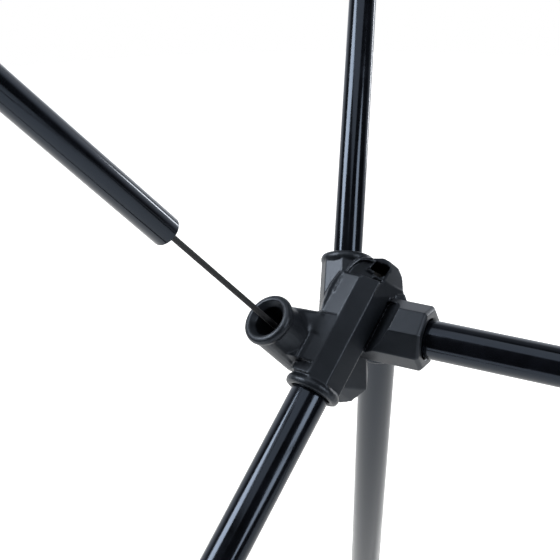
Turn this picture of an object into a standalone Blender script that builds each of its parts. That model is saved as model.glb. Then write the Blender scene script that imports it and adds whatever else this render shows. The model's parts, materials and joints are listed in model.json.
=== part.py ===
"""Folding pole frame of a lawn game set: two moulded hubs, a crossbar, four legs, four posts.

The crossbar lies along X. Each hub holds five sockets, and an elastic cord runs from
each socket up the bore of its tube. The left front post stands drawn out of its socket.
Metres, +Z up. The origin is the middle of the bounding box, on the ground.
"""
import math

import bmesh
import bpy
from mathutils import Matrix, Vector

# Frame
HUB_SPAN = 0.340            # between the two hub centres, along the crossbar
HUB_HEIGHT = 0.270          # crossbar axis above the ground
TIP_HEIGHT = 0.500          # end faces of the seated posts above the ground
DRAWN_OUT = 0.085           # how far the left front post stands out of its seat

# Tubes
LEG_DIAMETER = 0.016        # legs and crossbar
POST_DIAMETER = 0.012
LEG_WALL = 0.0011
POST_WALL = 0.0009
TUBE_EDGE = 0.0005          # rounding of a tube's cut ends
CORD_DIAMETER = 0.0025

# Fits
SOCKET_CLEARANCE = 0.0004   # tube to socket, on the radius
SEAT_GAP = 0.0003           # seated tube to the bottom of its socket
PLUG_CLEARANCE = 0.0003     # plug or foot to tube, on the radius
CORD_CLEARANCE = 0.0003     # cord to its hole, on the radius
CORD_HOLE_DEPTH = 0.005     # blind hole that anchors a cord, below the socket
MOUTH_CHAMFER = 0.0006

# Hub
POST_LIP_RADIUS = 0.0110    # round bead at the mouth of a post's socket
LEG_LIP_RADIUS = 0.0117
LIP_LENGTH = 0.0042
LIP_ROUNDING = 0.0016
BARREL_ACROSS = 0.0210      # front leg socket, across flats
BARREL_TOP = 0.0285         # how far the barrel runs on past the hub centre
BARREL_ROUND = 0.0085       # radius of the barrel's outer top corner
BARREL_ROUND_LEVEL = 0.0170
BARREL_ROUND_ANGLES = (20, 40, 60)      # degrees from sideways towards the top
SHOULDER_START = 0.0137     # where the barrel widens over the crossbar socket
SHOULDER_REACH = 0.0164
SHOULDER_CORNER = (0.0115, 0.0261)      # sideways and up the barrel
SHOULDER_ANGLES = (29, 55)
REAR_LEG_ACROSS = 0.0205
REAR_POST_ACROSS = 0.0200
NECK_RADIUS = 0.0102        # round neck behind the front post's lip
NECK_START = 0.004
SOCKET_START = -0.006       # inner ends of the rear sockets' bodies, along their axes
STUB_START = -0.002         # inner end of the crossbar socket's body
LIP_SHARE = 0.6             # the barrel starts this far along its lip
LIP_COVER = 0.001           # how far a socket's body stops short of its mouth
STUB_ACROSS = 0.0249        # crossbar socket, across flats
STUB_MOUTH = 0.0355         # crossbar socket's end face from the hub centre
STUB_DEPTH = 0.0215
STUB_CHAMFER = 0.0012
CORE_RADIUS = 0.0115
CORE_OUTER = 0.0070         # core's reach on the outer side of the hub centre
CORE_INNER = 0.0080
EAR_CUT = (0.0239, 0.0091)              # a point of the sloping top: up and forward
EAR_SLOPE = 35                          # degrees the sloping top leans forward
RAMP_START = (0.0165, 0.0105)           # cord ramp in the barrel's front: up and forward
RAMP_END = (0.0285, 0.0030)
RAMP_RIGHT = 0.0048
HATCH_FLOOR = -0.0070       # hole in the ramp where the cord is knotted
HATCH_LEFT = 0.0018
HATCH_RIGHT = 0.0045
HATCH_START = 0.0185
HATCH_END = 0.0256
ANCHOR_DIAMETER = 0.0022    # pin across the deep part of the pocket, which holds the knot
ANCHOR_CLEARANCE = 0.0003
ANCHOR_LEVEL = 0.0222
ANCHOR_SINK = 0.0028        # pin's middle behind the barrel's axis
ANCHOR_GRIP = 0.0018        # length of pin in each side wall

# Feet and post tips
FOOT_WALL = 0.0022
FOOT_GRIP = 0.020           # length of tube inside a foot
FOOT_FLAT = 0.0006          # depth of the flat on the foot's ball
TIP_STEM = 0.014            # length of tip inside the tube
TIP_HEAD = 0.007
TIP_FLANGE = 0.0008         # how far the tip stands proud of the tube
TIP_ROUNDING = 0.0018
FOOT_EDGE = 0.0010

SHARP_ANGLE = 35            # degrees between faces that makes a hard edge
LIP_ARC = (90, 45, 0)       # degrees round a lip's bead
FOOT_ARC = range(0, 90, 15)
UPRIGHT = 0.9               # an axis steeper than this is turned from X, not from Z
ROUND_STEPS = 32
FOOT_STEPS = 24
SMALL_STEPS = 16
MERGE = 0.00001
STEP = 0.0001               # keeps joined shapes from sharing a face
OVERRUN = 0.0015            # how far a cutter stands out of the face it cuts
RAMP_OVERRUN = 0.25         # the same for the ramp, as a part of its length

# Directions are for the left hub. A pole leans forward (-1) or back (+1) from the vertical
# and splays outwards. Its axis passes the crossbar's axis at `inset` along X, `offset` to
# the side. `mouth` and `depth` are its socket's end and depth along that axis.
POLES = {
    "front_post": dict(back=-1, up=1, lean=46.6, splay=18.3, inset=-0.01165, offset=0.018,
                       mouth=0.0320, depth=0.0195, across=POST_DIAMETER, wall=POST_WALL),
    "rear_post": dict(back=1, up=1, lean=31.0, splay=12.5, inset=-0.0015, offset=0.002,
                      mouth=0.0275, depth=0.0200, across=POST_DIAMETER, wall=POST_WALL),
    "front_leg": dict(back=-1, up=-1, lean=40.0, splay=9.5, inset=0.0025, offset=-0.006,
                      mouth=0.0360, depth=0.0240, across=LEG_DIAMETER, wall=LEG_WALL),
    "rear_leg": dict(back=1, up=-1, lean=37.5, splay=12.0, inset=0.010, offset=0.011,
                     mouth=0.0300, depth=0.0170, across=LEG_DIAMETER, wall=LEG_WALL),
}
BARREL_FACE = Vector((0.4525, -0.7296, 0.5135))     # outward normal of the barrel's front flat
REAR_POST_FACE = Vector((0.5095, -0.6728, 0.5360))

# Corners of the arm that carries the front post's socket, in the left hub's own frame
ARM_CORNERS = [
    (-0.0192, -0.0213, 0.0101), (-0.0266, -0.0234, 0.0080), (-0.0296, -0.0283, 0.0026),
    (-0.0270, -0.0328, -0.0022), (-0.0226, -0.0352, -0.0048), (-0.0022, -0.0299, -0.0077),
    (0.0035, -0.0154, 0.0079), (-0.0138, -0.0218, -0.0177), (-0.0010, -0.0205, -0.0180),
    (-0.0165, -0.0100, -0.0120), (-0.0140, -0.0060, 0.0010), (0.0040, -0.0060, -0.0180),
    (0.0040, 0.0040, 0.0000),
]
# Corners of the bridge under the hub, between the two leg sockets
BRIDGE_CORNERS = [
    (0.0100, 0.0010, -0.0285), (0.0072, -0.0010, -0.0300), (0.0050, -0.0030, -0.0335),
    (0.0010, -0.0060, -0.0340), (-0.0080, -0.0060, -0.0280), (0.0085, 0.0050, -0.0225),
    (0.0080, 0.0010, -0.0070), (-0.0045, 0.0040, -0.0060), (-0.0050, 0.0080, -0.0230),
    (0.0020, -0.0160, -0.0230), (-0.0060, -0.0140, -0.0200),
]

COLOURS = {     # base colour, roughness, metallic
    "hub_nylon": ((0.060, 0.068, 0.078), 0.55, 0.0),
    "tube_black": ((0.012, 0.013, 0.018), 0.16, 0.6),
    "cord_black": ((0.035, 0.035, 0.035), 0.9, 0.0),
    "foot_rubber": ((0.022, 0.022, 0.024), 0.75, 0.0),
}


def clear_scene():
    for thing in list(bpy.data.objects):
        bpy.data.objects.remove(thing)


def new_collection(name):
    group = bpy.data.collections.new(name)
    bpy.context.scene.collection.children.link(group)
    return group


def new_material(name):
    colour, roughness, metallic = COLOURS[name]
    material = bpy.data.materials.new(name)
    material.use_nodes = True
    shader = material.node_tree.nodes["Principled BSDF"]
    shader.inputs["Base Color"].default_value = (*colour, 1.0)
    shader.inputs["Roughness"].default_value = roughness
    shader.inputs["Metallic"].default_value = metallic
    return material


def on_side(side, point):
    """Turn a point of the left hub's own frame into the world, for side -1 or +1."""
    x, y, z = point
    return Vector((side * (HUB_SPAN / 2 - x), y, HUB_HEIGHT + z))


def turn_side(side, vector):
    return Vector((-side * vector[0], vector[1], vector[2])).normalized()


def socket_line(name):
    """Point and outward direction of a pole's axis, in the left hub's own frame."""
    pole = POLES[name]
    lean, splay = math.radians(pole["lean"]), math.radians(pole["splay"])
    slope = Vector((0.0, pole["back"] * math.sin(lean), pole["up"] * math.cos(lean)))
    point = Vector((pole["inset"], 0.0, 0.0)) + pole["offset"] * Vector((0.0, -slope.z, slope.y))
    direction = math.cos(splay) * slope - Vector((math.sin(splay), 0.0, 0.0))
    return point, direction.normalized()


def pole_line(name, side):
    """World point and outward direction of a pole's axis."""
    point, direction = socket_line(name)
    return on_side(side, point), turn_side(side, direction)


def crossbar_line(side):
    """Hub centre and the direction from it along the crossbar."""
    return on_side(side, (0.0, 0.0, 0.0)), Vector((-side, 0.0, 0.0))


def facing(axis, front):
    """Rotation with Z along the axis and X as near as it can be to `front`."""
    z = axis.normalized()
    x = (front - front.dot(z) * z).normalized()
    return Matrix((x, z.cross(x), z)).transposed().to_4x4()


def aim(point, axis):
    """Placement with Z along the axis."""
    front = Vector((0.0, 0.0, 1.0)) if abs(axis.z) < UPRIGHT else Vector((1.0, 0.0, 0.0))
    return Matrix.Translation(point) @ facing(axis, front)


def add_object(name, mesh, place, group, material=None):
    thing = bpy.data.objects.new(name, mesh)
    group.objects.link(thing)
    thing.matrix_world = place
    if material:
        mesh.materials.append(material)
        mesh.shade_smooth()
        mesh.set_sharp_from_angle(angle=math.radians(SHARP_ANGLE))
    else:
        thing.hide_render = True
        thing.display_type = "WIRE"
    return thing


def mesh_from(shape, name):
    mesh = bpy.data.meshes.new(name)
    shape.to_mesh(mesh)
    shape.free()
    return mesh


def turned(name, profile, place, group, material=None, steps=ROUND_STEPS, closed=False):
    """Solid of revolution about the placement's Z: (radius, height) points, top to bottom."""
    shape = bmesh.new()
    points = [shape.verts.new((radius, 0.0, height)) for radius, height in profile]
    for first, second in zip(points, points[1:]):
        shape.edges.new((first, second))
    if closed:
        shape.edges.new((points[-1], points[0]))
    thing = add_object(name, mesh_from(shape, name), place, group, material)
    screw = thing.modifiers.new("turn", "SCREW")
    screw.steps = screw.render_steps = steps
    screw.use_merge_vertices = True
    screw.merge_threshold = MERGE
    screw.use_smooth_shade = True
    return thing


def octagon_bar(name, point, axis, front, across, start, end, group, edge=0.0):
    """Eight-sided bar along an axis, with one flat facing `front`."""
    shape = bmesh.new()
    radius = across / 2 / math.cos(math.pi / 8)
    bmesh.ops.create_cone(shape, cap_ends=True, segments=8, radius1=radius, radius2=radius,
                          depth=end - start)
    bmesh.ops.rotate(shape, verts=shape.verts, matrix=Matrix.Rotation(math.pi / 8, 3, "Z"))
    if edge:
        rims = [e for e in shape.edges if abs(e.verts[0].co.z - e.verts[1].co.z) < MERGE]
        bmesh.ops.bevel(shape, geom=rims, offset=edge, segments=1, affect="EDGES", profile=0.5)
    middle = point + axis * (start + end) / 2
    place = Matrix.Translation(middle) @ facing(axis, front)
    return add_object(name, mesh_from(shape, name), place, group)


def hull(name, corners, group):
    """Convex block through the given world corners."""
    shape = bmesh.new()
    for corner in corners:
        shape.verts.new(corner)
    bmesh.ops.convex_hull(shape, input=shape.verts)
    bmesh.ops.delete(shape, geom=[v for v in shape.verts if not v.link_faces], context="VERTS")
    bmesh.ops.recalc_face_normals(shape, faces=shape.faces)
    return add_object(name, mesh_from(shape, name), Matrix.Identity(4), group)


def combine(thing, operation, other):
    change = thing.modifiers.new(other.name, "BOOLEAN")
    change.operation = operation
    change.solver = "EXACT"
    change.object = other


def socket_cutter(name, point, axis, mouth, depth, radius, group):
    """Stepped bore: chamfered mouth, tube seat, and the blind hole for the cord."""
    hole = CORD_DIAMETER / 2 + CORD_CLEARANCE
    seat = mouth - depth
    profile = [
        (0.0, mouth + OVERRUN), (radius + MOUTH_CHAMFER + OVERRUN, mouth + OVERRUN),
        (radius, mouth - MOUTH_CHAMFER), (radius, seat), (hole, seat),
        (hole, seat - CORD_HOLE_DEPTH), (0.0, seat - CORD_HOLE_DEPTH),
    ]
    return turned(name, profile, aim(point, axis), group)


def lip(name, pole, group):
    """Rounded bead round a socket's mouth."""
    point, axis = socket_line(pole)
    radius = POST_LIP_RADIUS if POLES[pole]["up"] > 0 else LEG_LIP_RADIUS
    high = POLES[pole]["mouth"]
    low = high - LIP_LENGTH
    arc = [math.radians(angle) for angle in LIP_ARC]
    profile = [(0.0, high)]
    profile += [(radius - LIP_ROUNDING + LIP_ROUNDING * math.cos(a),
                 high - LIP_ROUNDING + LIP_ROUNDING * math.sin(a)) for a in arc]
    profile += [(radius - LIP_ROUNDING + LIP_ROUNDING * math.cos(a),
                 low + LIP_ROUNDING - LIP_ROUNDING * math.sin(a)) for a in reversed(arc)]
    profile += [(0.0, low)]
    return turned(name, profile, aim(point, axis), group)


def barrel_frame():
    """Left barrel's axis point and its directions: sideways, forward and upward."""
    point, axis = socket_line("front_leg")
    front = (BARREL_FACE - BARREL_FACE.dot(axis) * axis).normalized()
    return point, front.cross(axis), front, -axis


def anchor_line():
    """Middle of the left anchor pin, its direction and half its length."""
    point, sideways, front, upward = barrel_frame()
    middle = point + sideways * (HATCH_RIGHT - HATCH_LEFT) / 2
    middle += upward * ANCHOR_LEVEL - front * ANCHOR_SINK
    return middle, sideways, (HATCH_RIGHT + HATCH_LEFT) / 2 + ANCHOR_GRIP


def trim(shape, point, normal):
    """Cut a closed shape with a plane, drop what lies outside it and close the cut."""
    every = shape.verts[:] + shape.edges[:] + shape.faces[:]
    cut = bmesh.ops.bisect_plane(shape, geom=every, plane_co=point, plane_no=normal,
                                 clear_outer=True, dist=MERGE)
    rim = [item for item in cut["geom_cut"] if isinstance(item, bmesh.types.BMEdge)]
    if rim:
        bmesh.ops.edgeloop_fill(shape, edges=rim)


def barrel_shape(name, section, start, end, group, inside=0.0):
    """Bar along the barrel with a (sideways, forward) section, rounded at its outer top."""
    point, sideways, front, upward = barrel_frame()
    shape = bmesh.new()
    for level in (start, end):
        for across, forward in section:
            shape.verts.new(point + sideways * across + front * forward + upward * level)
    bmesh.ops.convex_hull(shape, input=shape.verts)
    hub_of_arc = point - sideways * (BARREL_ACROSS / 2 - BARREL_ROUND)
    hub_of_arc += upward * BARREL_ROUND_LEVEL
    for angle in BARREL_ROUND_ANGLES:
        slant = math.radians(angle)
        normal = -sideways * math.cos(slant) + upward * math.sin(slant)
        trim(shape, hub_of_arc + normal * (BARREL_ROUND - inside), normal)
    slant = math.radians(EAR_SLOPE)
    normal = upward * math.cos(slant) + front * math.sin(slant)
    trim(shape, point + upward * EAR_CUT[0] + front * EAR_CUT[1] - normal * inside, normal)
    corner = point + sideways * SHOULDER_CORNER[0] + upward * SHOULDER_CORNER[1]
    for angle in SHOULDER_ANGLES:
        slant = math.radians(angle)
        normal = sideways * math.cos(slant) + upward * math.sin(slant)
        trim(shape, corner - normal * inside, normal)
    bmesh.ops.recalc_face_normals(shape, faces=shape.faces)
    return add_object(name, mesh_from(shape, name), Matrix.Identity(4), group)


def hub_form(cutters):
    """Left hub in its own frame: five sockets round a core, a cord pocket in the barrel's top."""
    half = BARREL_ACROSS / 2
    flat = half * math.tan(math.pi / 8)
    octagon = [(half, flat), (flat, half), (-flat, half), (-half, flat),
               (-half, -flat), (-flat, -half), (flat, -half), (half, -flat)]
    reach = SHOULDER_REACH
    inner = half - STEP
    shoulder = [(flat, inner), (reach, inner + flat - reach), (reach, -flat), (flat, -inner),
                (-flat, -inner), (-inner, -flat), (-inner, flat), (-flat, inner)]
    leg_mouth = POLES["front_leg"]["mouth"]
    centre, inward, forward = Vector((0, 0, 0)), Vector((1, 0, 0)), Vector((0, -1, 0))

    body = barrel_shape("hub", octagon, LIP_LENGTH * LIP_SHARE - leg_mouth, BARREL_TOP, cutters)
    parts = [
        barrel_shape("shoulder", shoulder, SHOULDER_START, BARREL_TOP - STEP, cutters,
                     inside=STEP),
        octagon_bar("stub", centre, inward, forward, STUB_ACROSS, STUB_START, STUB_MOUTH,
                    cutters, STUB_CHAMFER),
        octagon_bar("core", centre, inward, forward, CORE_RADIUS * 2, -CORE_OUTER, CORE_INNER,
                    cutters, STUB_CHAMFER),
    ]
    for pole, across, front in (("rear_post", REAR_POST_ACROSS, REAR_POST_FACE),
                                ("rear_leg", REAR_LEG_ACROSS, forward)):
        point, axis = socket_line(pole)
        parts.append(octagon_bar(pole + "_socket", point, axis, front, across, SOCKET_START,
                                 POLES[pole]["mouth"] - LIP_COVER, cutters))
    point, axis = socket_line("front_post")
    neck_top = POLES["front_post"]["mouth"] - LIP_COVER
    parts.append(turned("neck", [(0, neck_top), (NECK_RADIUS, neck_top),
                                 (NECK_RADIUS, NECK_START), (0, NECK_START)],
                        aim(point, axis), cutters))
    parts.append(hull("arm", ARM_CORNERS, cutters))
    parts.append(hull("bridge", BRIDGE_CORNERS, cutters))
    parts += [lip(pole + "_lip", pole, cutters) for pole in POLES]
    for part in parts:
        combine(body, "UNION", part)

    point, sideways, front, upward = barrel_frame()

    def block(label, left, right, outline):
        corners = [point + sideways * across + upward * up + front * forward
                   for across in (left, right) for up, forward in outline]
        return hull(label, corners, cutters)

    ramp = [Vector(RAMP_START), Vector(RAMP_END)]
    reach = ramp[1] - ramp[0]
    ramp = [ramp[0] - reach * RAMP_OVERRUN, ramp[1] + reach * RAMP_OVERRUN]
    cuts = [block("ramp", -BARREL_ACROSS, RAMP_RIGHT,
                  ramp + [(corner.x, BARREL_ACROSS) for corner in ramp]),
            block("hatch", -HATCH_LEFT, HATCH_RIGHT,
                  [(up, forward) for up in (HATCH_START, HATCH_END)
                   for forward in (HATCH_FLOOR, BARREL_ACROSS)])]
    start, sideways, half_length = anchor_line()
    radius = ANCHOR_DIAMETER / 2 + ANCHOR_CLEARANCE
    reach = half_length + ANCHOR_CLEARANCE
    cuts.append(turned("anchor_bore", [(0, reach), (radius, reach), (radius, -reach), (0, -reach)],
                       aim(start, sideways), cutters, steps=SMALL_STEPS))
    for pole, data in POLES.items():
        point, axis = socket_line(pole)
        cuts.append(socket_cutter(pole + "_bore", point, axis, data["mouth"], data["depth"],
                                  data["across"] / 2 + SOCKET_CLEARANCE, cutters))
    cuts.append(socket_cutter("crossbar_bore", centre, inward, STUB_MOUTH, STUB_DEPTH,
                              LEG_DIAMETER / 2 + SOCKET_CLEARANCE, cutters))
    for cut in cuts:
        combine(body, "DIFFERENCE", cut)
    return body


def place_hub(name, side, form, group, material):
    """Finished hub at its end of the crossbar. The right one is the left one mirrored."""
    solid = form.evaluated_get(bpy.context.evaluated_depsgraph_get())
    mesh = bpy.data.meshes.new_from_object(solid)
    if side > 0:
        mesh.transform(Matrix.Scale(-1.0, 4, (1.0, 0.0, 0.0)))
        mesh.flip_normals()
    mesh.materials.clear()
    place = Matrix.Translation(on_side(side, (0.0, 0.0, 0.0)))
    return add_object(name, mesh, place, group, material)


def tube(name, point, axis, across, wall, start, end, group, material):
    """Open tube along an axis with rounded cut ends, and its origin at its inner end."""
    outer, inner, edge = across / 2, across / 2 - wall, TUBE_EDGE
    length = end - start
    profile = [(outer - edge, length), (outer, length - edge), (outer, edge),
               (outer - edge, 0.0), (inner, 0.0), (inner, length)]
    return turned(name, profile, aim(point + axis * start, axis), group, material, closed=True)


def cord(name, point, axis, start, end, group, material):
    """Taut elastic cord along an axis."""
    line = bpy.data.curves.new(name, "CURVE")
    line.dimensions = "3D"
    line.bevel_depth = CORD_DIAMETER / 2
    line.bevel_resolution = 2
    line.use_fill_caps = True
    spline = line.splines.new("POLY")
    spline.points.add(1)
    spline.points[0].co = (0.0, 0.0, 0.0, 1.0)
    spline.points[1].co = (0.0, 0.0, end - start, 1.0)
    thing = bpy.data.objects.new(name, line)
    group.objects.link(thing)
    thing.matrix_world = aim(point + axis * start, axis)
    line.materials.append(material)
    return thing


def foot(name, point, axis, centre, group, cutters, material):
    """Ball foot over a leg's end, cut flat where it stands on the ground."""
    bore = LEG_DIAMETER / 2 + PLUG_CLEARANCE
    ball = bore + FOOT_WALL
    arc = [math.radians(angle) for angle in FOOT_ARC]
    # Heights run up the leg from the middle of the ball.
    profile = [(0.0, 0.0), (bore, 0.0), (bore, FOOT_GRIP), (ball - FOOT_EDGE, FOOT_GRIP),
               (ball, FOOT_GRIP - FOOT_EDGE)]
    profile += [(ball * math.cos(a), -ball * math.sin(a)) for a in arc]
    profile.append((0.0, -ball))
    thing = turned(name, profile, aim(point + axis * centre, -axis), group, material,
                   steps=FOOT_STEPS)
    combine(thing, "DIFFERENCE", cutters.objects["ground"])
    return thing


def post_tip(name, point, axis, start, group, material):
    """Plug in a post's outer end, with a flat face and a blind hole for the cord."""
    stem = POST_DIAMETER / 2 - POST_WALL - PLUG_CLEARANCE
    head = POST_DIAMETER / 2 + TIP_FLANGE
    hole = CORD_DIAMETER / 2 + CORD_CLEARANCE
    profile = [(0.0, TIP_HEAD), (head - TIP_ROUNDING, TIP_HEAD), (head, TIP_HEAD - TIP_ROUNDING),
               (head, 0.0), (stem, 0.0), (stem, -TIP_STEM), (hole, -TIP_STEM),
               (hole, -TIP_STEM + CORD_HOLE_DEPTH), (0.0, -TIP_STEM + CORD_HOLE_DEPTH)]
    return turned(name, profile, aim(point + axis * start, axis), group, material,
                  steps=FOOT_STEPS)


def anchor_pin(name, side, group, material):
    """Pin that holds the knotted cord in the barrel's pocket."""
    middle, sideways, half_length = anchor_line()
    radius = ANCHOR_DIAMETER / 2
    profile = [(0.0, half_length), (radius, half_length), (radius, -half_length),
               (0.0, -half_length)]
    place = aim(on_side(side, middle), turn_side(side, sideways))
    return turned(name, profile, place, group, material, steps=SMALL_STEPS)


def add_pole(label, pole, side, out, group, cutters, finish):
    """Tube, end piece and cord of one pole, standing `out` from its seat."""
    data = POLES[pole]
    point, axis = pole_line(pole, side)
    seat = data["mouth"] - data["depth"]
    start = seat + SEAT_GAP
    if data["up"] < 0:
        ball = LEG_DIAMETER / 2 + PLUG_CLEARANCE + FOOT_WALL
        centre = (point.z - ball + FOOT_FLAT) / -axis.z
        end = centre - SEAT_GAP
        foot(label + "_foot", point, axis, centre, group, cutters, finish["foot_rubber"])
        cord_end = end - CORD_HOLE_DEPTH
    else:
        end = (TIP_HEIGHT - point.z) / axis.z - TIP_HEAD - SEAT_GAP
        post_tip(label + "_tip", point, axis, end + SEAT_GAP + out, group, finish["hub_nylon"])
        cord_end = end - TIP_STEM + CORD_HOLE_DEPTH
    tube(label, point, axis, data["across"], data["wall"], start + out, end + out, group,
         finish["tube_black"])
    cord(label + "_cord", point, axis, seat - CORD_HOLE_DEPTH + SEAT_GAP, cord_end + out, group,
         finish["cord_black"])


def centre_on_origin(group, cutters):
    """Move everything so that the bounding box stands centred on the origin."""
    graph = bpy.context.evaluated_depsgraph_get()
    points = []
    for thing in group.objects:
        solid = thing.evaluated_get(graph)
        points += [solid.matrix_world @ vertex.co for vertex in solid.to_mesh().vertices]
        solid.to_mesh_clear()
    across, along, heights = zip(*points)
    middle = Vector((min(across) + max(across), min(along) + max(along), 2 * min(heights))) / 2
    for thing in group.objects[:] + cutters.objects[:]:
        thing.matrix_world = Matrix.Translation(-middle) @ thing.matrix_world


def main():
    clear_scene()
    group = new_collection("folding_pole_frame")
    cutters = new_collection("cutters")
    finish = {name: new_material(name) for name in COLOURS}
    shape = bmesh.new()
    bmesh.ops.create_cube(shape, size=1.0)
    add_object("ground", mesh_from(shape, "ground"), Matrix.Translation((0, 0, -0.5)), cutters)

    form = hub_form(cutters)
    for side, word in ((-1, "left"), (1, "right")):
        place_hub(word + "_hub", side, form, group, finish["hub_nylon"])
        anchor_pin(word + "_cord_anchor", side, group, finish["foot_rubber"])
        for pole in POLES:
            drawn = side < 0 and pole == "front_post"
            add_pole(f"{word}_{pole}", pole, side, DRAWN_OUT if drawn else 0.0, group, cutters,
                     finish)
        centre, inward = crossbar_line(side)
        seat = STUB_MOUTH - STUB_DEPTH
        cord(word + "_crossbar_cord", centre, inward, seat - CORD_HOLE_DEPTH + SEAT_GAP,
             (HUB_SPAN - SEAT_GAP) / 2, group, finish["cord_black"])
    centre, inward = crossbar_line(-1)
    seat = STUB_MOUTH - STUB_DEPTH + SEAT_GAP
    tube("crossbar", centre, inward, LEG_DIAMETER, LEG_WALL, seat, HUB_SPAN - seat, group,
         finish["tube_black"])
    centre_on_origin(group, cutters)


main()
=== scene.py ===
# Folding pole frame of a lawn game set: two moulded hubs, their tubes and elastic cords.
import json
import math

import bmesh
import bpy
from mathutils import Matrix, Vector

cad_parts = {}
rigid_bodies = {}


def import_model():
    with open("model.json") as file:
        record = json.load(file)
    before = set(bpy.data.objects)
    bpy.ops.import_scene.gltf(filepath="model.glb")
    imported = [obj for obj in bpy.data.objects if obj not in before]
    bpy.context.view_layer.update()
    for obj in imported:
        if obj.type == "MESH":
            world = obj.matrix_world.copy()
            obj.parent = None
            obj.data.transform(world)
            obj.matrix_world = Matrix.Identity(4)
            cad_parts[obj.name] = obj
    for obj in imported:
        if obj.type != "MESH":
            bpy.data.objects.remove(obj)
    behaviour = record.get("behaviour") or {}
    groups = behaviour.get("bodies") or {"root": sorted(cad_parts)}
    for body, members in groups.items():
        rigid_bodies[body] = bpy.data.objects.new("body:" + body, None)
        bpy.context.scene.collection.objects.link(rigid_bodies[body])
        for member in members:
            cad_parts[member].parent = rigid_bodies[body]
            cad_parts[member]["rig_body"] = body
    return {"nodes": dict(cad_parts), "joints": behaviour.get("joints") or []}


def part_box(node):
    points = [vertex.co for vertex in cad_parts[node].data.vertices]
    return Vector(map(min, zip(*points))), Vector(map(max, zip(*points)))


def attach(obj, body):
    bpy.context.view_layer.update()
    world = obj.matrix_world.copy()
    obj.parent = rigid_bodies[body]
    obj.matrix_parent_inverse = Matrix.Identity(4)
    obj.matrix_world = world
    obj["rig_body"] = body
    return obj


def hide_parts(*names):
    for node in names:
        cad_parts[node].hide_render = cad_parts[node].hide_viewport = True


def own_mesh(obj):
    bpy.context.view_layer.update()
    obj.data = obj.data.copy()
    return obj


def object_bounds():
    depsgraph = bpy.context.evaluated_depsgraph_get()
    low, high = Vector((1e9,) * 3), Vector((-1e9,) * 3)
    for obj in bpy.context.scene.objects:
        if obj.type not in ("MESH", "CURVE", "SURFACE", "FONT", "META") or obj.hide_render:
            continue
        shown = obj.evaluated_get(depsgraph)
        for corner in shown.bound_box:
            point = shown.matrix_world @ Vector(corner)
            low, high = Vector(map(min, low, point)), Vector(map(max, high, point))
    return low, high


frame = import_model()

cadBox = [list(corner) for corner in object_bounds()]
nodes = frame["nodes"]
mm = 0.001
fullTurn = 2 * math.pi
onePoint = 0.001 * mm       # points this close are one
poles = ("front_post", "rear_post", "front_leg", "rear_leg")
print("frame loaded:", len(nodes), "nodes")

# The crossbar's ends stand this far from the middles of the hubs, so its box places both.
crossbarSeat = 14.3 * mm
barLow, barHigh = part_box("crossbar")
barMiddle = (barLow + barHigh) / 2
hubPlace = {"left": Vector((barLow.x - crossbarSeat, barMiddle.y, barMiddle.z)),
            "right": Vector((barHigh.x + crossbarSeat, barMiddle.y, barMiddle.z))}


# Camera

camera = dict(
    fromHub=(0.20088, -0.50558, 0.19518),       # lens, from the left hub's middle
    right=(0.89914848, 0.43431502, 0.05387464),
    up=(-0.18206516, 0.25926823, 0.94848946),
    lens=89.45, sensor=36.0, near=0.01, far=50.0,
)


def placeCamera():
    data = bpy.data.cameras.new("camera")
    data.lens, data.sensor_width = camera["lens"], camera["sensor"]
    data.clip_start, data.clip_end = camera["near"], camera["far"]
    thing = bpy.data.objects.new("camera", data)
    bpy.context.scene.collection.objects.link(thing)
    right, up = Vector(camera["right"]), Vector(camera["up"])
    turn = Matrix((right, up, right.cross(up))).transposed().to_4x4()
    thing.matrix_world = Matrix.Translation(hubPlace["left"] + Vector(camera["fromHub"])) @ turn
    bpy.context.scene.camera = thing


placeCamera()
print("camera placed")


# Helpers

def hexColour(text):
    channels = [int(text[i:i + 2], 16) / 255 for i in (1, 3, 5)]
    linear = [c / 12.92 if c <= 0.04045 else ((c + 0.055) / 1.055) ** 2.4 for c in channels]
    return (*linear, 1.0)


def addNode(tree, kind, sockets=None, **settings):
    node = tree.nodes.new("ShaderNode" + kind)
    for key, value in settings.items():
        setattr(node, key, value)
    for key, value in (sockets or {}).items():
        if isinstance(value, bpy.types.NodeSocket):
            tree.links.new(value, node.inputs[key])
        else:
            node.inputs[key].default_value = value
    return node


def newMaterial(name, sockets):
    material = bpy.data.materials.new(name)
    material.use_nodes = True
    shader = material.node_tree.nodes["Principled BSDF"]
    for key, value in sockets.items():
        shader.inputs[key].default_value = value
    return material, material.node_tree, shader


def addPiece(name, mesh, material, body, stands=()):
    mesh.materials.clear()
    mesh.materials.append(material)
    mesh.shade_smooth()
    thing = bpy.data.objects.new(name, mesh)
    bpy.context.scene.collection.objects.link(thing)
    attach(thing, body)
    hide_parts(*stands)
    return thing


def meshOf(bm, name, place=None):
    if place:
        bmesh.ops.transform(bm, matrix=place, verts=bm.verts)
    mesh = bpy.data.meshes.new(name)
    bm.to_mesh(mesh)
    bm.free()
    return mesh


def poleAxis(label):
    joint = next(j for j in frame["joints"] if j["child"] == label)
    return Vector(joint["axis"]).normalized()


def placeOn(label, axis):       # a frame at a node's inner end, Z outwards, and its length
    steep = 0.9         # past this the axis is too near Z, and its side is found from X
    points = [v.co for v in nodes[label].data.vertices]
    levels = [p.dot(axis) for p in points]
    middle = sum(points, Vector()) / len(points)
    inner = middle + axis * (min(levels) - middle.dot(axis))
    front = Vector((0, 0, 1)) if abs(axis.z) < steep else Vector((1, 0, 0))
    side = (front - axis * front.dot(axis)).normalized()
    turn = Matrix((side, axis.cross(side), axis)).transposed().to_4x4()
    return Matrix.Translation(inner) @ turn, max(levels) - min(levels)


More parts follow.
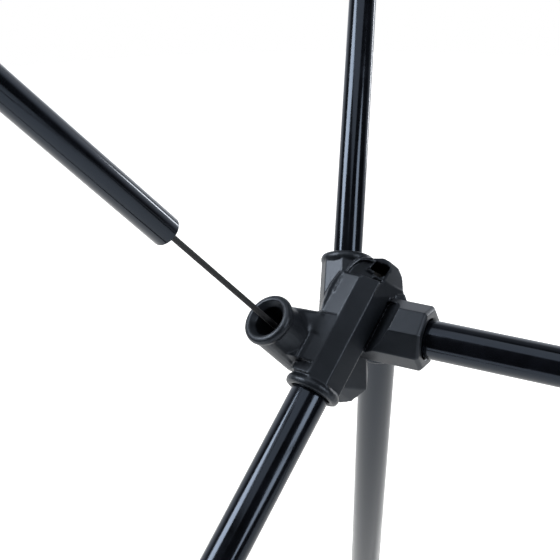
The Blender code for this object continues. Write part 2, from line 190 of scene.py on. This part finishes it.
def spinRound(bm, steps):       # what is drawn beside the Z axis, turned all the way round it
    bmesh.ops.spin(bm, geom=bm.verts[:] + bm.edges[:], cent=(0, 0, 0), axis=(0, 0, 1),
                   dvec=(0, 0, 0), angle=fullTurn, steps=steps, use_merge=True,
                   use_duplicate=False)


def spinProfile(bm, points, steps, closed=False):
    verts = [bm.verts.new((radius, 0, height)) for radius, height in points]
    pairs = list(zip(verts, verts[1:])) + ([(verts[-1], verts[0])] if closed else [])
    for pair in pairs:
        bm.edges.new(pair)
    spinRound(bm, steps)
    bmesh.ops.remove_doubles(bm, verts=bm.verts, dist=onePoint)
    bmesh.ops.recalc_face_normals(bm, faces=bm.faces)


def roundEdges(bm, edges, offset, segments):
    bmesh.ops.bevel(bm, geom=edges, offset=offset, offset_type="OFFSET", segments=segments,
                    profile=0.5, affect="EDGES", material=-1, clamp_overlap=True)


def roundRing(bm, radius, height, offset, segments=4):
    near = 0.01 * mm
    ring = [e for e in bm.edges
            if all(abs(v.co.z - height) < near and abs(v.co.xy.length - radius) < near
                   for v in e.verts)]
    roundEdges(bm, ring, offset, segments)


def keepLay(bm):        # every point's place in the piece's own turned frame, for its material
    lay = bm.verts.layers.float_vector.new("lay")
    for vert in bm.verts:
        vert[lay] = vert.co


# Materials

def blackTube():
    # Black anodised aluminium tube, drawn and sealed. The oxide film gives the eye a hard,
    # clear gloss over near-black metal, with faint lengthwise draw lines and dull rubbed spots.
    material, tree, shader = newMaterial("anodisedAluminiumTube", {
        "Base Color": hexColour("#0b0c10"), "Roughness": 0.13, "IOR": 1.5, "Metallic": 0.0,
        "Specular IOR Level": 0.5, "Specular Tint": hexColour("#c8dcf8")})
    lay = addNode(tree, "Attribute", attribute_name="lay").outputs["Vector"]
    # Draw lines: 0.4 mm apart round the tube and some 60 mm long.
    stretched = addNode(tree, "Mapping", {"Vector": lay, "Scale": (2500, 2500, 16)})
    lines = addNode(tree, "TexNoise", {"Vector": stretched.outputs["Vector"], "Scale": 1.0,
                                       "Detail": 2.0, "Roughness": 0.5})
    # Handling marks: soft patches about 12 mm wide.
    patches = addNode(tree, "TexNoise", {"Vector": lay, "Scale": 85.0, "Detail": 4.0,
                                         "Roughness": 0.6})
    rough = addNode(tree, "MapRange", {"Value": patches.outputs["Fac"], "From Min": 0.3,
                                       "From Max": 0.75, "To Min": 0.09, "To Max": 0.19})
    tone = addNode(tree, "ValToRGB", {"Fac": patches.outputs["Fac"]})
    low, high = tone.color_ramp.elements
    low.position, low.color = 0.35, hexColour("#08090c")
    high.position, high.color = 0.75, hexColour("#101218")
    bump = addNode(tree, "Bump", {"Strength": 0.05, "Distance": 0.02 * mm,
                                  "Height": lines.outputs["Fac"]})
    tree.links.new(tone.outputs["Color"], shader.inputs["Base Color"])
    tree.links.new(rough.outputs["Result"], shader.inputs["Roughness"])
    tree.links.new(bump.outputs["Normal"], shader.inputs["Normal"])
    return material


def mouldedNylon(name, dark, light):
    # Glass-filled nylon, injection moulded in a spark-eroded tool. It gives the eye a slate
    # grey with a soft sheen, a fine even grain, and edges that catch the light.
    material, tree, shader = newMaterial(name, {
        "Base Color": hexColour(light), "Roughness": 0.38, "IOR": 1.53, "Metallic": 0.0,
        "Specular IOR Level": 0.46, "Specular Tint": hexColour("#d4e2f6")})
    place = addNode(tree, "TexCoord").outputs["Object"]
    # The tool's grain is about 0.1 mm wide; it is drawn at 0.35 mm so that it shows.
    grain = addNode(tree, "TexNoise", {"Vector": place, "Scale": 2800.0, "Detail": 3.0,
                                       "Roughness": 0.65})
    # Flow of the melt: slow changes of tone, 8 to 15 mm across.
    flow = addNode(tree, "TexNoise", {"Vector": place, "Scale": 90.0, "Detail": 5.0,
                                      "Roughness": 0.6, "Distortion": 0.4})
    tone = addNode(tree, "ValToRGB", {"Fac": flow.outputs["Fac"]})
    low, high = tone.color_ramp.elements
    low.position, low.color = 0.3, hexColour(dark)
    high.position, high.color = 0.72, hexColour(light)
    # Raised edges are painted a little lighter than the faces, from the mesh's pointiness: a
    # painted highlight along the edges.
    edge = addNode(tree, "NewGeometry").outputs["Pointiness"]
    edgeHighlight = addNode(tree, "MapRange", {"Value": edge, "From Min": 0.52, "From Max": 0.62,
                                        "To Min": 0.0, "To Max": 0.35})
    highlightedTone = addNode(tree, "MixRGB", {"Fac": edgeHighlight.outputs["Result"],
                                    "Color1": tone.outputs["Color"],
                                    "Color2": hexColour("#3c4148")})
    rough = addNode(tree, "MapRange", {"Value": grain.outputs["Fac"], "From Min": 0.3,
                                       "From Max": 0.7, "To Min": 0.32, "To Max": 0.44})
    bump = addNode(tree, "Bump", {"Strength": 0.35, "Distance": 0.03 * mm,
                                  "Height": grain.outputs["Fac"]})
    tree.links.new(highlightedTone.outputs["Color"], shader.inputs["Base Color"])
    tree.links.new(rough.outputs["Result"], shader.inputs["Roughness"])
    tree.links.new(bump.outputs["Normal"], shader.inputs["Normal"])
    return material


def mouldedRubber():
    # Moulded black rubber, dusty and matt. It gives the eye a dull charcoal with a fine
    # pebbled skin and paler scuffs where it meets the ground.
    material, tree, shader = newMaterial("mouldedRubber", {
        "Base Color": hexColour("#1d1e20"), "Roughness": 0.75, "IOR": 1.52, "Metallic": 0.0})
    place = addNode(tree, "TexCoord").outputs["Object"]
    # Pebbles 0.5 mm across, and dust in patches about 5 mm wide.
    pebbles = addNode(tree, "TexVoronoi", {"Vector": place, "Scale": 2000.0, "Randomness": 0.9})
    dust = addNode(tree, "TexNoise", {"Vector": place, "Scale": 220.0, "Detail": 5.0,
                                      "Roughness": 0.65})
    tone = addNode(tree, "ValToRGB", {"Fac": dust.outputs["Fac"]})
    low, high = tone.color_ramp.elements
    low.position, low.color = 0.35, hexColour("#17181a")
    high.position, high.color = 0.8, hexColour("#2e2f31")
    bump = addNode(tree, "Bump", {"Strength": 0.4, "Distance": 0.05 * mm,
                                  "Height": pebbles.outputs["Distance"]})
    rough = addNode(tree, "MapRange", {"Value": dust.outputs["Fac"], "From Min": 0.3,
                                       "From Max": 0.7, "To Min": 0.62, "To Max": 0.85})
    tree.links.new(tone.outputs["Color"], shader.inputs["Base Color"])
    tree.links.new(rough.outputs["Result"], shader.inputs["Roughness"])
    tree.links.new(bump.outputs["Normal"], shader.inputs["Normal"])
    return material


def braidedSheath():
    # Elastic cord in a braided polyester sheath. It gives the eye a charcoal plait of
    # lustrous strands with dark gaps, and fine fibres along each strand.
    material, tree, shader = newMaterial("braidedPolyester", {
        "Base Color": hexColour("#24262a"), "Roughness": 0.62, "IOR": 1.48, "Metallic": 0.0,
        "Sheen Weight": 0.06, "Sheen Roughness": 0.4})
    height = addNode(tree, "Attribute", attribute_name="rise").outputs["Fac"]
    # The strands are painted lighter on their tops and darker down in the gaps, by their
    # height: painted shade between the strands.
    tone = addNode(tree, "ValToRGB", {"Fac": height})
    low, high = tone.color_ramp.elements
    low.position, low.color = 0.15, hexColour("#0b0c0e")
    high.position, high.color = 0.8, hexColour("#2a2c30")
    place = addNode(tree, "TexCoord").outputs["Object"]
    # A fibre is about 0.03 mm thick; it is drawn at 0.12 mm so that it shows.
    fibres = addNode(tree, "TexNoise", {"Vector": place, "Scale": 8000.0, "Detail": 2.0})
    bump = addNode(tree, "Bump", {"Strength": 0.3, "Distance": 0.03 * mm,
                                  "Height": fibres.outputs["Fac"]})
    tree.links.new(tone.outputs["Color"], shader.inputs["Base Color"])
    tree.links.new(bump.outputs["Normal"], shader.inputs["Normal"])
    return material


tubeFinish = blackTube()
hubFinish = mouldedNylon("mouldedNylonHub", "#101317", "#1a1d22")
tipFinish = mouldedNylon("mouldedNylonTip", "#101216", "#191b1f")
footFinish = mouldedRubber()
cordFinish = braidedSheath()
print("materials made")


# Tubes

tube = dict(legRadius=8.0 * mm, legWall=1.1 * mm, postRadius=6.0 * mm, postWall=0.9 * mm,
            edge=0.45 * mm, innerEdge=0.15 * mm, innerSteps=2, steps=128,
            hidden=7.5 * mm)        # how far the crossbar's ends stop short inside the hubs


def makeTube(label):
    axis = Vector((1, 0, 0)) if label == "crossbar" else poleAxis(label)
    post = "post" in label
    outer = tube["postRadius"] if post else tube["legRadius"]
    inner = outer - (tube["postWall"] if post else tube["legWall"])
    place, length = placeOn(label, axis)
    start = 0
    if label == "crossbar":
        start, length = tube["hidden"], length - tube["hidden"]
    bm = bmesh.new()
    spinProfile(bm, [(outer, start), (outer, length), (inner, length), (inner, start)],
                tube["steps"], closed=True)
    for height in (start, length):
        roundRing(bm, outer, height, tube["edge"])
        roundRing(bm, inner, height, tube["innerEdge"], tube["innerSteps"])
    keepLay(bm)
    addPiece(label + "_tube", meshOf(bm, label + "_tube", place), tubeFinish,
             nodes[label]["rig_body"], [label])


makeTube("crossbar")
for side in hubPlace:
    for pole in poles:
        makeTube(f"{side}_{pole}")
print("tubes turned")


# Braided cords

cord = dict(
    radius=1.25 * mm,
    around=48, lap=0.2 * mm,        # faces round the cord, and the length of each
    shown=100 * mm,                 # braided this far; the rest is hidden in the tube
    carriers=8, pitch=9.0 * mm,     # strands each way, and the length of one turn
    rise=0.16 * mm,                 # how far the strands stand out of the gaps
    under=0.45, crossing=3,         # a strand's height where it dives, and how fast it does
    drawn=85 * mm,                  # how far the left front post is drawn out of its seat
)


def makeCord(label, axis, joint=None):
    place, length = placeOn(label, axis)
    shown = min(cord["shown"], length)
    bm = bmesh.new()
    radius = cord["radius"]
    edge = bm.edges.new([bm.verts.new((radius, 0, level)) for level in (0, shown)])
    bmesh.ops.subdivide_edges(bm, edges=[edge], cuts=int(shown / cord["lap"]))
    if length > shown:      # the hidden length up the tube stays plain
        last = max(bm.verts, key=lambda vert: vert.co.z)
        far = bmesh.ops.extrude_vert_indiv(bm, verts=[last])["verts"]
        bmesh.ops.translate(bm, verts=far, vec=(0, 0, length - shown))
    spinRound(bm, cord["around"])
    rims = [e for e in bm.edges if e.is_boundary]
    bmesh.ops.holes_fill(bm, edges=rims, sides=0)
    bmesh.ops.recalc_face_normals(bm, faces=bm.faces)
    rise = bm.verts.layers.float.new("rise")
    under = cord["under"]
    for vert in bm.verts:
        across = cord["carriers"] * math.atan2(vert.co.y, vert.co.x)
        along = fullTurn * cord["carriers"] * vert.co.z / cord["pitch"]
        over = math.sin((across + along) / 2) * math.sin((across - along) / 2)
        first = 0.5 + 0.5 * math.cos(across + along)
        second = 0.5 + 0.5 * math.cos(across - along)
        up = 0.5 + 0.5 * math.copysign(min(1.0, abs(over) * cord["crossing"]), over)
        height = max(first * (under + (1 - under) * up), second * (1 - (1 - under) * up))
        vert[rise] = height
        vert.co.xy *= (radius - cord["rise"] * (1 - height)) / radius
    thing = addPiece(label + "_braid", meshOf(bm, label + "_braid", place), cordFinish,
                     nodes[label]["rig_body"], [label])
    if joint:
        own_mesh(thing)


for side, inward in (("left", 1), ("right", -1)):
    makeCord(f"{side}_crossbar_cord", Vector((inward, 0, 0)))
    for pole in poles:
        label = f"{side}_{pole}"
        slide = "left_front_post_slide" if label == "left_front_post" else None
        makeCord(label + "_cord", poleAxis(label), slide)
print("cords braided")


# Feet and tips

foot = dict(grip=20.0 * mm, bore=8.3 * mm, wall=2.2 * mm, steps=96, arc=20,
            lip=0.8 * mm, innerLip=0.4 * mm, innerSteps=2, flatEdge=0.25 * mm, flatSteps=3,
            groove=0.35 * mm, grooves=(5.0 * mm, 8.0 * mm, 11.0 * mm), grooveWidth=1.0 * mm,
            grooveFloor=0.4)        # the share of a groove's width that its floor has
tip = dict(flange=6.8 * mm, stem=4.8 * mm, stemLength=14.0 * mm, hole=1.55 * mm,
           holeDepth=5.0 * mm, edge=1.7 * mm, edgeSteps=8, gate=1.6 * mm, gateDepth=0.3 * mm,
           gateFloor=0.8,           # the gate mark's floor, as a share of its mouth
           gateEdge=0.15 * mm, underEdge=0.3 * mm, fineSteps=3, steps=96)


def makeFoot(label):
    name = label + "_foot"
    place, length = placeOn(name, poleAxis(label))
    ball = foot["bore"] + foot["wall"]
    bm = bmesh.new()
    # Outline: the cup's floor and bore, its rim, the grooved wall, then round the ball.
    points = [(0, foot["grip"]), (foot["bore"], foot["grip"]), (foot["bore"], 0), (ball, 0)]
    half = foot["grooveWidth"] / 2
    floor = half * foot["grooveFloor"]
    for level in foot["grooves"]:
        points += [(ball, level - half), (ball - foot["groove"], level - floor),
                   (ball - foot["groove"], level + floor), (ball, level + half)]
    verts = [bm.verts.new((radius, 0, height)) for radius, height in points]
    for pair in zip(verts, verts[1:]):
        bm.edges.new(pair)
    start = bm.verts.new((ball, 0, foot["grip"]))
    bm.edges.new((verts[-1], start))
    bmesh.ops.spin(bm, geom=[start], cent=(0, 0, foot["grip"]), axis=(0, -1, 0),
                   dvec=(0, 0, 0), angle=fullTurn / 4, steps=foot["arc"], use_merge=False,
                   use_duplicate=False)
    spinRound(bm, foot["steps"])
    bmesh.ops.remove_doubles(bm, verts=bm.verts, dist=onePoint)
    bmesh.ops.recalc_face_normals(bm, faces=bm.faces)
    roundRing(bm, ball, 0, foot["lip"])
    roundRing(bm, foot["bore"], 0, foot["innerLip"], foot["innerSteps"])
    bmesh.ops.transform(bm, matrix=place, verts=bm.verts)
    # Worn flat where it stands.
    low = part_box(name)[0].z
    cut = bmesh.ops.bisect_plane(bm, geom=bm.verts[:] + bm.edges[:] + bm.faces[:],
                                 plane_co=(0, 0, low), plane_no=(0, 0, -1), clear_outer=True,
                                 dist=onePoint)
    rim = [item for item in cut["geom_cut"] if isinstance(item, bmesh.types.BMEdge)]
    bmesh.ops.edgeloop_fill(bm, edges=rim)
    roundEdges(bm, rim, foot["flatEdge"], foot["flatSteps"])
    addPiece(name + "_ball", meshOf(bm, name), footFinish, nodes[name]["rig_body"],
             [name])


def makeTip(label):
    name = label + "_tip"
    place, length = placeOn(name, poleAxis(label))
    gateFloor = length - tip["gateDepth"]
    bm = bmesh.new()
    spinProfile(bm, [(0, tip["holeDepth"]), (tip["hole"], tip["holeDepth"]), (tip["hole"], 0),
                     (tip["stem"], 0), (tip["stem"], tip["stemLength"]),
                     (tip["flange"], tip["stemLength"]), (tip["flange"], length),
                     (tip["gate"], length), (tip["gate"] * tip["gateFloor"], gateFloor),
                     (0, gateFloor)], tip["steps"])
    roundRing(bm, tip["flange"], length, tip["edge"], tip["edgeSteps"])
    roundRing(bm, tip["flange"], tip["stemLength"], tip["underEdge"], tip["fineSteps"])
    roundRing(bm, tip["gate"], length, tip["gateEdge"], tip["fineSteps"])
    addPiece(name + "_cap", meshOf(bm, name, place), tipFinish, nodes[name]["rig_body"],
             [name])


for side in hubPlace:
    for pole in poles:
        (makeTip if "post" in pole else makeFoot)(f"{side}_{pole}")
print("feet and tips made")


# Hubs

# The way that each barrel's front faces.
barrelFace = {"left": Vector((0.4525, -0.7296, 0.5135)),
              "right": Vector((-0.4525, -0.7296, 0.5135))}

# Outlines are in mm on the barrel: "front" ones across and along it, cut or filled between
# two levels out of its front, and "up" ones forward and across, between two levels along it.
# A first level of three numbers slants: its height, and its rise across and along.
hub = dict(
    middle=(2.5, -4.596, 3.857),        # the barrel's own middle, in mm from the hub's
    merge=0.005 * mm, voxel=0.40 * mm, smooth=2, ease=0.5, keep=0.55,
    added={
        "leftFlank": ("up", (-31, 14.6), ((10.5, -5.2), (4.2, -11.7), (0.5, -11.7), (0.5, -4),
                                          (10.2, -4))),
        "rimSlab": ("front", (0, 4.9), ((-11.7, 5), (-11.5, 11), (-10.6, 15), (-9.9, 19.2),
                                        (-8.5, 22), (-6.1, 23.9), (-3, 24.7), (-1, 20),
                                        (-1, 5))),
        "sidePlate": ("front", (-4, 4.1), ((-10.6, 16.5), (-12.4, 15.5), (-13.1, 13.2),
                                           (-13.75, 9), (-13.8, 4.6), (-13.1, -0.3),
                                           (-12.3, -3.7), (-8, -4), (-8, 16))),
        "pocketSill": ("front", (-2, 3.2), ((-2.4, 18), (5, 18), (5, 21.8), (-2.4, 21.8))),
        "earTab": ("front", (-8, 2.6), ((11.2, 15.2), (11.9, 18), (13.7, 21.9), (16.5, 17.2),
                                        (15.3, 15), (13.3, 12.5))),
    },
    carved={
        "rightBevel": ("up", (-31.6, 29), ((10.5, 3.2), (3.8, 10.9), (32, 10.9), (32, 3.2))),
        "stubGap": ("up", (-15, 12.5), ((4.2, 10.45), (2.7, 10.6), (2.3, 11.3), (5, 12.4),
                                        (11, 14.4), (32, 14.6), (32, 10.45))),
        "armValley": ("up", (-31, 3), ((10.5, -4.9), (9.3, -7.6), (8.4, -10), (8.4, -12.6),
                                       (32, -13), (32, -4.9))),
        "ledge": ("up", (-31.9, -26.3), ((10.5, -5.2), (4.9, -11), (32, -11.2), (32, -5.2))),
        "earSlope": ("front", ((14.99, -0.627, -0.28), 32),
                     ((3.5, 9.5), (11.4, 16), (17, 20.9), (17, 31), (3.5, 31))),
        "earTop": ("front", ((19.19, -0.627, -0.5), 32),
                   ((3.5, 18), (17, 21.5), (17, 31), (3.5, 31))),
        "recess": ("front", (3.3, 32), ((-9.9, 14.9), (3.7, 16.7), (4.3, 17), (4.45, 18.9),
                                        (4.94, 23), (6.4, 26.1), (8.2, 27.6), (9, 30.5),
                                        (0, 30.5), (-4.2, 27), (-2.4, 24.2), (-5.7, 23.2),
                                        (-7.9, 21.5), (-9.3, 18.9))),
        "pocket": ("front", (-9, 6), ((-2.46, 21.7), (-1.95, 23.5), (-0.15, 25.4), (2.2, 26.3),
                                      (5.15, 26), (4.46, 23.7), (3.8, 21.4), (2.9, 20.4),
                                      (0.7, 20.1), (-0.25, 21), (-1.7, 21.2))),
    },
    trimmed={
        "catch": ("front", (3, 5), ((0.2, 18.6), (4.4, 18.5), (4.5, 19.6), (0.4, 19.7))),
        "tongue": ("front", (3, 4.3), ((-3.6, 20.2), (-2.4, 21.5), (-0.2, 21), (-0.6, 19.8))),
    },
    # The open socket's mouth, a gap away from the end of the post.
    mouth=dict(gap=65.5 * mm, outer=8.6 * mm, inner=6.5 * mm, depth=2.6 * mm, steps=96),
    # Smoothed within a radius of a point in the socket, but not at its bead or on the barrel.
    neck=dict(along=19 * mm, radius=17 * mm, passes=120, bead=5.5 * mm, edge=-5.8 * mm,
              low=-15 * mm),
    plug=dict(start=13 * mm, end=21.6 * mm, radius=8.7 * mm, steps=96),
)


def finished(thing):        # the object's mesh with its modifiers applied; the object goes
    graph = bpy.context.evaluated_depsgraph_get()
    mesh = bpy.data.meshes.new_from_object(thing.evaluated_get(graph))
    bpy.data.objects.remove(thing)
    return mesh


def looseObject(name, mesh):
    thing = bpy.data.objects.new(name, mesh)
    bpy.context.scene.collection.objects.link(thing)
    return thing


def barrelPlace():      # across, along and out of the left barrel's front
    along = -poleAxis("left_front_leg")
    front = barrelFace["left"]
    front = (front - along * front.dot(along)).normalized()
    turn = Matrix((along.cross(front), along, front)).transposed().to_4x4()
    return Matrix.Translation(Vector(hub["middle"]) * mm) @ turn


def barrelBlock(name, run, levels, outline):
    near, far = levels
    level, riseA, riseB = near if isinstance(near, tuple) else (near, 0, 0)
    bm = bmesh.new()
    flat = bm.faces.new([bm.verts.new((a, b, level + riseA * a + riseB * b))
                         for a, b in outline])
    top = bmesh.ops.extrude_face_region(bm, geom=[flat])["geom"]
    for vert in top:
        if isinstance(vert, bmesh.types.BMVert):
            vert.co.z = far
    if run == "up":
        turn = Matrix(((0, 1, 0), (0, 0, 1), (1, 0, 0))).to_4x4()
        bmesh.ops.transform(bm, matrix=turn, verts=bm.verts)
    bmesh.ops.recalc_face_normals(bm, faces=bm.faces)
    bmesh.ops.scale(bm, vec=(mm, mm, mm), verts=bm.verts)
    return looseObject(name, meshOf(bm, name, barrelPlace()))


def mouthPlace():       # frame at the mouth of the left front post's socket, Z outwards
    place, length = placeOn("left_front_post", poleAxis("left_front_post"))
    place = Matrix.Translation(-hubPlace["left"]) @ place
    return place @ Matrix.Translation((0, 0, -hub["mouth"]["gap"]))


def mouthCone():
    data = hub["mouth"]
    bm = bmesh.new()
    spinProfile(bm, [(0, -data["depth"]), (data["inner"], -data["depth"]), (data["outer"], 0),
                     (data["outer"], data["depth"]), (0, data["depth"])], data["steps"])
    return looseObject("mouthCone", meshOf(bm, "mouthCone", mouthPlace()))


def barPlug():      # fills the crossbar's socket behind the tube's end
    data = hub["plug"]
    alongBar = Matrix.Rotation(fullTurn / 4, 4, "Y")
    bm = bmesh.new()
    spinProfile(bm, [(0, data["start"]), (data["radius"], data["start"]),
                     (data["radius"], data["end"]), (0, data["end"])], data["steps"])
    return looseObject("barPlug", meshOf(bm, "barPlug", alongBar))


def softenNeck(bm):     # the socket runs into the arm without a line
    data = hub["neck"]
    mouth, barrel = mouthPlace(), barrelPlace().inverted()
    middle = mouth @ Vector((0, 0, -data["along"]))
    intoMouth = mouth.inverted()
    near = [v for v in bm.verts if (v.co - middle).length < data["radius"]
            and (intoMouth @ v.co).z < -data["bead"] and (barrel @ v.co).x < data["edge"]
            and (barrel @ v.co).y > data["low"]]
    print("neck points", len(near))
    for turn in range(data["passes"]):
        bmesh.ops.smooth_vert(bm, verts=near, factor=hub["ease"], use_axis_x=True,
                              use_axis_y=True, use_axis_z=True)


def makeHub():
    bm = bmesh.new()
    bm.from_mesh(nodes["left_hub"].data)
    bmesh.ops.remove_doubles(bm, verts=bm.verts, dist=hub["merge"])
    bmesh.ops.translate(bm, verts=bm.verts, vec=-hubPlace["left"])
    body = looseObject("hub_form", meshOf(bm, "hub_form"))
    tools = []
    order = (("UNION", "added"), ("DIFFERENCE", "carved"), ("UNION", "trimmed"))
    for operation, group in order:
        shapes = [barrelBlock(name, *data) for name, data in hub[group].items()]
        if group == "added":
            shapes.append(barPlug())
        if group == "carved":
            shapes.append(mouthCone())
        for shape in shapes:
            cut = body.modifiers.new(shape.name, "BOOLEAN")
            cut.operation, cut.solver, cut.object = operation, "EXACT", shape
        tools += shapes
    remesh = body.modifiers.new("even", "REMESH")
    remesh.mode, remesh.voxel_size, remesh.use_smooth_shade = "VOXEL", hub["voxel"], True
    relax = body.modifiers.new("relax", "SMOOTH")
    relax.factor, relax.iterations = hub["ease"], hub["smooth"]
    mesh = finished(body)
    for shape in tools:
        bpy.data.objects.remove(shape)
    print("hub shaped:", len(mesh.polygons), "faces")
    bm = bmesh.new()
    bm.from_mesh(mesh)
    softenNeck(bm)
    body = looseObject("hub_form", meshOf(bm, "hub_form"))
    thin = body.modifiers.new("thin", "DECIMATE")
    thin.ratio = hub["keep"]
    return finished(body)


leftHub = makeHub()
for side, name in (("left", "left_hub"), ("right", "right_hub")):
    bm = bmesh.new()
    bm.from_mesh(leftHub)
    if side == "right":
        bmesh.ops.scale(bm, vec=(-1, 1, 1), verts=bm.verts)
        bmesh.ops.reverse_faces(bm, faces=bm.faces)
    print(name, len(bm.faces), "faces")
    addPiece(name + "_moulding", meshOf(bm, name, Matrix.Translation(hubPlace[side])),
             hubFinish, nodes[name]["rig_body"], [name])
print("hubs moulded")


# Cord anchors

pin = dict(radius=1.1 * mm, steps=48, edge=0.3 * mm, edgeSteps=3)


def makeAnchor(side):
    name = side + "_cord_anchor"
    axis = poleAxis(side + "_front_leg").cross(barrelFace[side]).normalized()
    place, length = placeOn(name, axis)
    bm = bmesh.new()
    spinProfile(bm, [(0, 0), (pin["radius"], 0), (pin["radius"], length), (0, length)],
                pin["steps"])
    for height in (0, length):
        roundRing(bm, pin["radius"], height, pin["edge"], pin["edgeSteps"])
    addPiece(name + "_pin", meshOf(bm, name, place), footFinish, nodes[name]["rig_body"],
             [name])


for side in hubPlace:
    makeAnchor(side)
print("anchors made")


# Floor, backdrop and lamps

stage = dict(
    floorRadius=1.6, floorSteps=96, behind=1.2, below=0.2 * mm, colour="#e4e4e2",
    reach=(0.35, 0.9), glow=(0.5, 1.0),             # metres from the middle, and the glow there
    litSide=(0.34, 0.82),                           # in reflections it goes dark rightwards
    litFront=(0.15, -0.1), behindLevel=0.68,        # and a little behind the object
)
backdrop = dict(
    towards=(-0.342, 0.940, 0.0), edge=(0.2, 0.6), colour="#eef3fb",
    room=0.03,                      # light left in the room in front of the sweep
    top=(0.45, 0.75), above=0.25,   # where the sweep ends upwards, and the light above it
)
# Each lamp: direction from the left hub, distance, width, height, watts.
lamps = {
    "leftSoftbox": dict(azimuth=-123.5, elevation=33, distance=1.4, width=0.6, height=0.7,
                        watts=17.0),
    "rightSoftbox": dict(azimuth=103, elevation=25, distance=1.4, width=0.42, height=1.0,
                         watts=8.5),
    "topSoftbox": dict(azimuth=-166, elevation=70, distance=1.4, width=1.3, height=1.1,
                       watts=6.0),
    "rimSoftbox": dict(azimuth=20, elevation=5, distance=1.4, width=0.14, height=0.4,
                       watts=2.2),
}


def makeFloor():
    bm = bmesh.new()
    bmesh.ops.create_circle(bm, cap_ends=True, segments=stage["floorSteps"],
                            radius=stage["floorRadius"])
    ground = cadBox[0][2] - stage["below"]
    bmesh.ops.translate(bm, verts=bm.verts, vec=(0, stage["behind"], ground))
    mesh = meshOf(bm, "floor")
    thing = looseObject("floor", mesh)
    material = bpy.data.materials.new("paperSweep")
    material.use_nodes = True
    tree = material.node_tree
    tree.nodes.clear()
    paper = addNode(tree, "BsdfDiffuse", {"Color": hexColour(stage["colour"])})
    ray = addNode(tree, "LightPath").outputs
    place = addNode(tree, "TexCoord").outputs["Object"]
    # In reflections the paper is darker far to the right and behind the object.
    spot = addNode(tree, "SeparateXYZ", {"Vector": place}).outputs
    side = addNode(tree, "MapRange", {"Value": spot["X"], "From Min": stage["litSide"][0],
                                      "From Max": stage["litSide"][1], "To Min": 1.0,
                                      "To Max": 0.0})
    front = addNode(tree, "MapRange", {"Value": spot["Y"], "From Min": stage["litFront"][0],
                                       "From Max": stage["litFront"][1],
                                       "To Min": stage["behindLevel"], "To Max": 1.0})
    mirrored = addNode(tree, "Math", {0: side.outputs["Result"], 1: front.outputs["Result"]},
                       operation="MULTIPLY")
    mirrored = addNode(tree, "Math", {0: mirrored.outputs[0], 1: ray["Is Glossy Ray"]},
                       operation="MULTIPLY")
    seen = addNode(tree, "Math", {0: ray["Is Camera Ray"], 1: mirrored.outputs[0]},
                   operation="MAXIMUM")
    seen = addNode(tree, "Math", {0: seen.outputs[0], 1: ray["Is Transmission Ray"]},
                   operation="MAXIMUM")
    # The paper glows more away from the object, so that its edge melts into the backdrop.
    reach = addNode(tree, "VectorMath", {0: place}, operation="LENGTH")
    glow = addNode(tree, "MapRange", {"Value": reach.outputs["Value"],
                                      "From Min": stage["reach"][0],
                                      "From Max": stage["reach"][1],
                                      "To Min": stage["glow"][0], "To Max": stage["glow"][1]},
                   interpolation_type="SMOOTHSTEP")
    strength = addNode(tree, "Math", {0: seen.outputs[0], 1: glow.outputs["Result"]},
                       operation="MULTIPLY")
    light = addNode(tree, "Emission", {"Strength": strength.outputs[0]})
    both = addNode(tree, "AddShader", {0: paper.outputs[0], 1: light.outputs[0]})
    addNode(tree, "OutputMaterial", {"Surface": both.outputs[0]})
    mesh.materials.append(material)


def makeWorld():
    world = bpy.data.worlds.new("studio")
    bpy.context.scene.world = world
    world.use_nodes = True
    tree = world.node_tree
    tree.nodes.clear()
    way = addNode(tree, "TexCoord").outputs["Generated"]
    along = addNode(tree, "VectorMath", {0: way, 1: backdrop["towards"]},
                    operation="DOT_PRODUCT")
    # White sweep behind the object, a dim room in front of it.
    sweep = addNode(tree, "MapRange", {"Value": along.outputs["Value"],
                                       "From Min": backdrop["edge"][0],
                                       "From Max": backdrop["edge"][1],
                                       "To Min": backdrop["room"], "To Max": 1.0},
                    interpolation_type="SMOOTHSTEP")
    # The sweep is a few metres high, and the ceiling above it is dim.
    height = addNode(tree, "SeparateXYZ", {"Vector": way}).outputs["Z"]
    ceiling = addNode(tree, "MapRange", {"Value": height, "From Min": backdrop["top"][0],
                                         "From Max": backdrop["top"][1], "To Min": 1.0,
                                         "To Max": backdrop["above"]},
                      interpolation_type="SMOOTHSTEP")
    light = addNode(tree, "Math", {0: sweep.outputs["Result"], 1: ceiling.outputs["Result"]},
                    operation="MULTIPLY")
    ray = addNode(tree, "LightPath").outputs
    shown = addNode(tree, "Background", {"Color": hexColour(backdrop["colour"]),
                                         "Strength": light.outputs[0]})
    white = addNode(tree, "Background", {"Color": hexColour("#ffffff"), "Strength": 1.0})
    every = addNode(tree, "MixShader", {0: ray["Is Camera Ray"], 1: shown.outputs[0],
                                        2: white.outputs[0]})
    addNode(tree, "OutputWorld", {"Surface": every.outputs[0]})


def makeLamp(name, data):
    light = bpy.data.lights.new(name, "AREA")
    light.shape, light.size, light.size_y = "RECTANGLE", data["width"], data["height"]
    light.energy = data["watts"]
    thing = bpy.data.objects.new(name, light)
    bpy.context.scene.collection.objects.link(thing)
    azimuth, elevation = math.radians(data["azimuth"]), math.radians(data["elevation"])
    way = Vector((math.sin(azimuth) * math.cos(elevation),
                  math.cos(azimuth) * math.cos(elevation), math.sin(elevation)))
    thing.location = hubPlace["left"] + way * data["distance"]
    thing.rotation_mode = "QUATERNION"
    thing.rotation_quaternion = (-way).to_track_quat("-Z", "Y")
    thing.visible_camera = False


makeFloor()
makeWorld()
for name, data in lamps.items():
    makeLamp(name, data)
bpy.context.scene.view_settings.view_transform = "Standard"
print("studio lit")

for name in nodes:
    if not nodes[name].hide_render:
        print("still the packed solid:", name)
